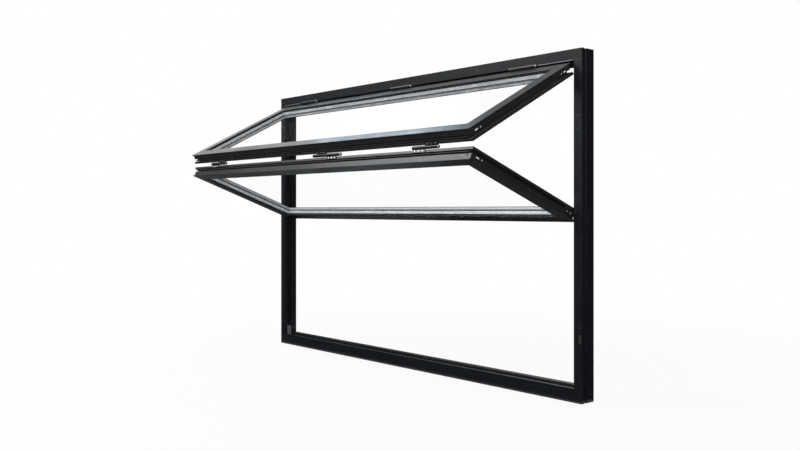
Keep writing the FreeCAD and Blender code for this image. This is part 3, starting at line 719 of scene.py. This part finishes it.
# Flat plug with round ends, its back at the origin, its length along X and its face towards +Z
def plugTree():
    grower = Grower("roundPlugs", {
        "Length": ("NodeSocketFloat", 0.016),
        "Width": ("NodeSocketFloat", 0.005),
        "Thickness": ("NodeSocketFloat", 0.003),
        "Finish": ("NodeSocketMaterial", None),
    })
    given = grower.given
    outline = grower.node("GeometryNodeCurvePrimitiveQuadrilateral", {"mode": "RECTANGLE"}, {
        "Width": given["Length"], "Height": given["Width"]}).outputs[0]
    endRadius = grower.times(given["Width"], 0.4999)    # a hair under half, so no two points meet
    rounded = grower.node("GeometryNodeFilletCurve", {"mode": "POLY"}, {
        "Curve": outline, "Count": 6, "Radius": endRadius}).outputs[0]
    face = grower.node("GeometryNodeFillCurve", {"mode": "NGONS"}, {"Curve": rounded}).outputs[0]
    grown = grower.node("GeometryNodeExtrudeMesh", {"mode": "FACES"}, {
        "Mesh": face, "Offset Scale": given["Thickness"], "Individual": False}).outputs[0]
    back = grower.node("GeometryNodeFlipFaces", None, {"Mesh": face}).outputs[0]
    joined = grower.node("GeometryNodeJoinGeometry")
    for part in (back, grown):
        grower.tree.links.new(part, joined.inputs[0])
    whole = grower.node("GeometryNodeMergeByDistance", None, {
        "Geometry": joined.outputs[0], "Distance": 0.00001}).outputs[0]
    return grower.close(grower.stood(whole))


plugs = plugTree()


def growPlugs(name, spots, size, thickness, finish, place):
    values = {"Length": size[0] * mm, "Width": size[1] * mm, "Thickness": thickness * mm, "Finish": finish}
    grow(name, spots, plugs, values, place)


cleatPlug = {
    "floor": 851.0,             # the bottom of the hole in a stile
    "slotAway": 35.0,           # from the leaf's corner
    "holeAway": 55.0,
    "slotSize": (15.4, 4.5),
    "holeSize": (5.4, 5.4),
    "thickness": 2.9,
    "upperAcross": 25.0,
    "lowerAcross": -31.0,
    "upperEnds": ((-4.0, -1), (-560.0, 1)),     # a corner's height, and which way is into the leaf
    "lowerEnds": ((-2.5, -1),),
    "railAway": 46.0,
    "railFloor": -11.5,         # the bottom of the hole in the lower leaf's top rail
}


# White plugs in the holes of the corner cleats: a slot and a round one in the stile at each corner but
# the lower leaf's foot, and one more round one at each end of the lower leaf's top rail
def makeCleatPlugs():
    for leaf, place in (("upper", upperPlace), ("lower", lowerPlace)):
        across = cleatPlug[leaf + "Across"]
        for word, size, away in (("Slot", cleatPlug["slotSize"], cleatPlug["slotAway"]),
                                 ("Round", cleatPlug["holeSize"], cleatPlug["holeAway"])):
            spots = []
            for side in (-1, 1):
                for corner, inward in cleatPlug[leaf + "Ends"]:
                    height = corner + inward * away
                    spots.append(((side * cleatPlug["floor"], across, height), faceAside(side)))
            if leaf == "lower" and word == "Round":
                end = fold["leafHalf"] - cleatPlug["railAway"]
                spots += [((side * end, across, cleatPlug["railFloor"]), faceUp) for side in (-1, 1)]
            growPlugs(leaf + word + "Plugs", spots, size, cleatPlug["thickness"], whiteNylon, place)


makeCleatPlugs()

coverPlug = {
    "size": (4.8, 4.8),
    "thickness": 0.35,
    "face": -33.0,
    "headSpots": ((1.5, 1175.0), (26.0, 1175.0), (-418.0, 1182.0), (418.0, 1182.0)),
    "jambAcross": 883.0,
    "jambHeights": (1163.0, 974.0, 926.0),
}


# Small caps over the fixing screws, on the outside face of the head and the jambs
def makeCoverPlugs():
    places = list(coverPlug["headSpots"])
    for side in (-1, 1):
        places += [(side * coverPlug["jambAcross"], height) for height in coverPlug["jambHeights"]]
    spots = [((across, coverPlug["face"], height), faceOut) for across, height in places]
    growPlugs("coverPlugs", spots, coverPlug["size"], coverPlug["thickness"], dimNylon, framePlace)


makeCoverPlugs()


# Two bars with small rounded edges, one the mirror of the other, in the frame of what they lie on
def mirroredBars(name, bar, finish, place):
    shape = bmesh.new()
    for side in (-1, 1):
        left, right = sorted((side * bar["inner"], side * bar["outer"]))
        low = (left, bar["front"], bar["low"])
        high = (right, bar["back"], bar["high"])
        for corner in bmesh.ops.create_cube(shape, size=1.0)["verts"]:
            for axis in range(3):
                corner.co[axis] = (low[axis] if corner.co[axis] < 0 else high[axis]) * mm
    bmesh.ops.bevel(shape, geom=shape.edges[:], offset=bar["round"] * mm, segments=2,
                    affect="EDGES", profile=0.5)
    mesh = bpy.data.meshes.new(name)
    shape.to_mesh(mesh)
    shape.free()
    mesh.transform(place)
    mesh.materials.append(finish)
    keepPiece(name, mesh)


# Painted highlight: lighter strips along the head's lower edge, from the outer hinges to the jambs, that
# stand in for the line of light along that edge
edgeHighlightStrip = {
    "inner": 712.0,
    "outer": 863.0,
    "front": -33.4,
    "back": -31.2,
    "low": 1161.6,
    "high": 1163.6,
    "round": 0.4,
}
mirroredBars("headEdgeHighlightStrips", edgeHighlightStrip, highlightStrip, framePlace)

# Soft rubber flaps that close the lower leaf's stiles beside the foot brackets
footFlap = {
    "inner": 856.8,
    "outer": 859.4,
    "front": -45.9,
    "back": -28.4,
    "low": -558.0,
    "high": -543.5,
    "round": 0.6,
}
mirroredBars("footFlaps", footFlap, rubber, lowerPlace)
print("window: plugs, caps, strips and flaps made")


# Studio: a pale floor that fades to white, a white background, soft lamps
studio = {
    "floorHalf": 16.0,
    "floorColour": (0.80, 0.80, 0.80),
    "floorWhite": 0.90,          # share of plain white near the window, as the camera sees the floor
    "fadeStart": 0.9,
    "fadeEnd": 3.2,
    "grainScale": 60.0,
    "grainDepth": 0.0003,
    "skyColour": (0.93, 0.965, 1.0),
    "skyStrength": 0.55,
    "white": (1.0, 1.0, 1.0),
}


def lightRays(paint):
    rays = paint.node("ShaderNodeLightPath")
    return (rays["Is Camera Ray"] + rays["Is Glossy Ray"] + rays["Is Transmission Ray"]).atMost(1.0)


# A flat board with its middle at the origin, moved to its place, with one material
def addBoard(name, width, height, place, material):
    across, up = width / 2, height / 2
    mesh = bpy.data.meshes.new(name)
    corners = [(-across, -up, 0), (across, -up, 0), (across, up, 0), (-across, up, 0)]
    mesh.from_pydata(corners, [], [(0, 1, 2, 3)])
    mesh.transform(place)
    mesh.materials.append(material)
    board = addToScene(bpy.data.objects.new(name, mesh))
    return board


def makeFloor():
    material, paint = newMaterial("studioFloor")
    grain = paint.noise(studio["grainScale"], detail=3.0, rough=0.6)
    diffuse = paint.node("ShaderNodeBsdfDiffuse", None, {
        "Color": studio["floorColour"],
        "Normal": paint.bump(grain, studio["grainDepth"], strength=0.2)})["BSDF"]
    white = paint.node("ShaderNodeEmission", None, {"Color": studio["white"], "Strength": 1.0})["Emission"]
    away = paint.node("ShaderNodeVectorMath", {"operation": "LENGTH"}, {0: paint.spot()})["Value"]
    fade = paint.node("ShaderNodeMapRange", {"interpolation_type": "SMOOTHSTEP"}, {
        "Value": away, "From Min": studio["fadeStart"], "From Max": studio["fadeEnd"],
        "To Min": studio["floorWhite"], "To Max": 1.0})["Result"]
    share = lightRays(paint) * fade
    both = paint.node("ShaderNodeMixShader", None, {0: share, 1: diffuse, 2: white})["Shader"]
    paint.node("ShaderNodeOutputMaterial", None, {"Surface": both})
    side = 2 * studio["floorHalf"]
    addBoard("floor", side, side, Matrix.Identity(4), material)


def makeSky():
    world = bpy.data.worlds.new("studioSky")
    bpy.context.scene.world = world
    paint = Paint(world)
    sky = paint.node("ShaderNodeBackground", None, {
        "Color": studio["skyColour"], "Strength": studio["skyStrength"]})["Background"]
    white = paint.node("ShaderNodeBackground", None, {
        "Color": studio["white"], "Strength": 1.0})["Background"]
    both = paint.node("ShaderNodeMixShader", None, {0: lightRays(paint), 1: sky, 2: white})["Shader"]
    paint.node("ShaderNodeOutputWorld", None, {"Surface": both})


# Glowing cards that only reflections see: they light nothing and cast no shadow, and are painted
# reflections in the coat and the glass.
# Most glow dark, as a photographer sets cards to keep black metal black, and the two rail highlight cards
# glow bright as painted highlights.
# Standing cards face their aim, and three of them glow more and more between two heights.
standingCards = {
    "sideCard": {"place": (3.1, 2.5, 1.7), "aim": (0.4, 0.0, 1.7), "size": (6.4, 3.4),
                 "glow": 0.02, "footGlow": 0.0, "heights": (0.0, 3.0)},
    "rearCard": {"place": (-2.8, 2.2, 0.85), "aim": (0.0, 0.0, 0.85), "size": (5.8, 1.7),
                 "glow": 0.08, "footGlow": 0.01, "heights": (0.0, 1.7)},
    "frontCard": {"place": (-1.6, -2.5, 1.12), "aim": (0.6, 0.0, 1.12), "size": (5.8, 2.24),
                  "glow": 0.165, "footGlow": 0.04, "heights": (0.50, 1.35)},
    "highCard": {"place": (-1.45, 2.3, 3.3), "aim": (0.84, -0.3, 1.02), "size": (3.0, 1.7), "glow": 0.10},
    # A bright card: a painted highlight on the upper leaf's bottom rail
    "railHighlightCard": {"place": (-1.75, 0.84, 2.35), "aim": (0.5, -0.53, 0.91), "size": (0.9, 0.6), "glow": 3.5},
}
# Lying cards face straight up, a little above the floor, side by side
lyingCards = {
    "floorCard": {"place": (0.0, -2.24, 0.004), "size": (9.0, 4.4), "glow": 0.06},
    "rearFloorCard": {"place": (-2.0, 2.5, 0.004), "size": (5.0, 3.88), "glow": 0.05},
    "sideFloorCard": {"place": (2.75, 2.24, 0.004), "size": (4.5, 4.4), "glow": 0.02},
    "endFloorCard": {"place": (2.955, 0.0, 0.0035), "size": (4.09, 0.08), "glow": 0.02},
    "nearRightCard": {"place": (0.0, 0.3, 0.004), "size": (1.0, 0.5), "glow": 0.03},
    # A bright card: a painted highlight on the lower leaf's top rail
    "nearRailHighlightCard": {"place": (-1.0, 0.3, 0.004), "size": (1.0, 0.5), "glow": 0.45},
    "nearLeftCard": {"place": (-3.0, 0.3, 0.004), "size": (3.0, 0.5), "glow": 0.04},
}
# The cards' pale blue, the tint of their painted reflections
cardTint = (0.72, 0.87, 1.0)


# A card glows with the card tint and only reflections see it: a painted reflection
def addCard(name, card, turn):
    material, paint = newMaterial(name)
    colour = cardTint
    if "footGlow" in card:
        foot = [part * card["footGlow"] / card["glow"] for part in cardTint]
        share = paint.node("ShaderNodeMapRange", None, {
            "Value": paint.height(paint.spot()),
            "From Min": card["heights"][0], "From Max": card["heights"][1]})["Result"]
        colour = paint.mix(share, foot, cardTint)
    shade = paint.node("ShaderNodeEmission", None, {"Color": colour, "Strength": card["glow"]})["Emission"]
    paint.node("ShaderNodeOutputMaterial", None, {"Surface": shade})
    board = addBoard(name, *card["size"], Matrix.Translation(card["place"]) @ turn, material)
    for rays in ("camera", "diffuse", "transmission", "volume_scatter", "shadow"):
        setattr(board, "visible_" + rays, False)


def makeCards():
    for name, card in standingCards.items():
        facing = Vector(card["aim"]) - Vector(card["place"])
        addCard(name, card, facing.to_track_quat("Z", "Y").to_matrix().to_4x4())
    for name, card in lyingCards.items():
        addCard(name, card, Matrix.Identity(4))


lamps = {
    "key": {"place": (-2.1, -2.6, 3.0), "aim": (0.3, -0.4, 0.8), "size": 2.4, "power": 92.0,
            "colour": (0.97, 0.985, 1.0)},
    "fill": {"place": (3.6, -3.2, 2.0), "aim": (0.0, -0.2, 0.7), "size": 2.6, "power": 70.0,
             "colour": (0.97, 0.985, 1.0)},
    "rim": {"place": (-1.2, 3.6, 3.0), "aim": (0.0, 0.0, 0.7), "size": 2.4, "power": 30.0,
            "colour": (1.0, 1.0, 1.0)},
}


def makeLamps():
    for name, lamp in lamps.items():
        light = bpy.data.lights.new(name, "AREA")
        light.shape = "SQUARE"
        light.size = lamp["size"]
        light.energy = lamp["power"]
        light.color = lamp["colour"]
        holder = addToScene(bpy.data.objects.new(name, light))
        facing = Vector(lamp["aim"]) - Vector(lamp["place"])
        holder.location = lamp["place"]
        holder.rotation_euler = facing.to_track_quat("-Z", "Y").to_euler()


camera = {
    "place": (2.6413, -2.4018, 0.6539),
    "turn": 48.32,               # degrees to the left of straight in, level
    "lens": 38.53,
    "sensor": 36.0,
    "shift": -0.0189,            # the horizon lies a little above the middle of the picture
    "nearest": 0.05,
    "furthest": 100.0,
}


def makeCamera():
    lens = bpy.data.cameras.new("viewer")
    lens.sensor_width = camera["sensor"]
    lens.lens = camera["lens"]
    lens.shift_y = camera["shift"]
    lens.clip_start = camera["nearest"]
    lens.clip_end = camera["furthest"]
    holder = addToScene(bpy.data.objects.new("viewer", lens))
    holder.location = camera["place"]
    holder.rotation_euler = (math.radians(90.0), 0.0, math.radians(camera["turn"]))
    bpy.context.scene.camera = holder


makeFloor()
makeSky()
makeCards()
makeLamps()
makeCamera()
bpy.context.scene.view_settings.view_transform = "Standard"
print("window: studio ready")
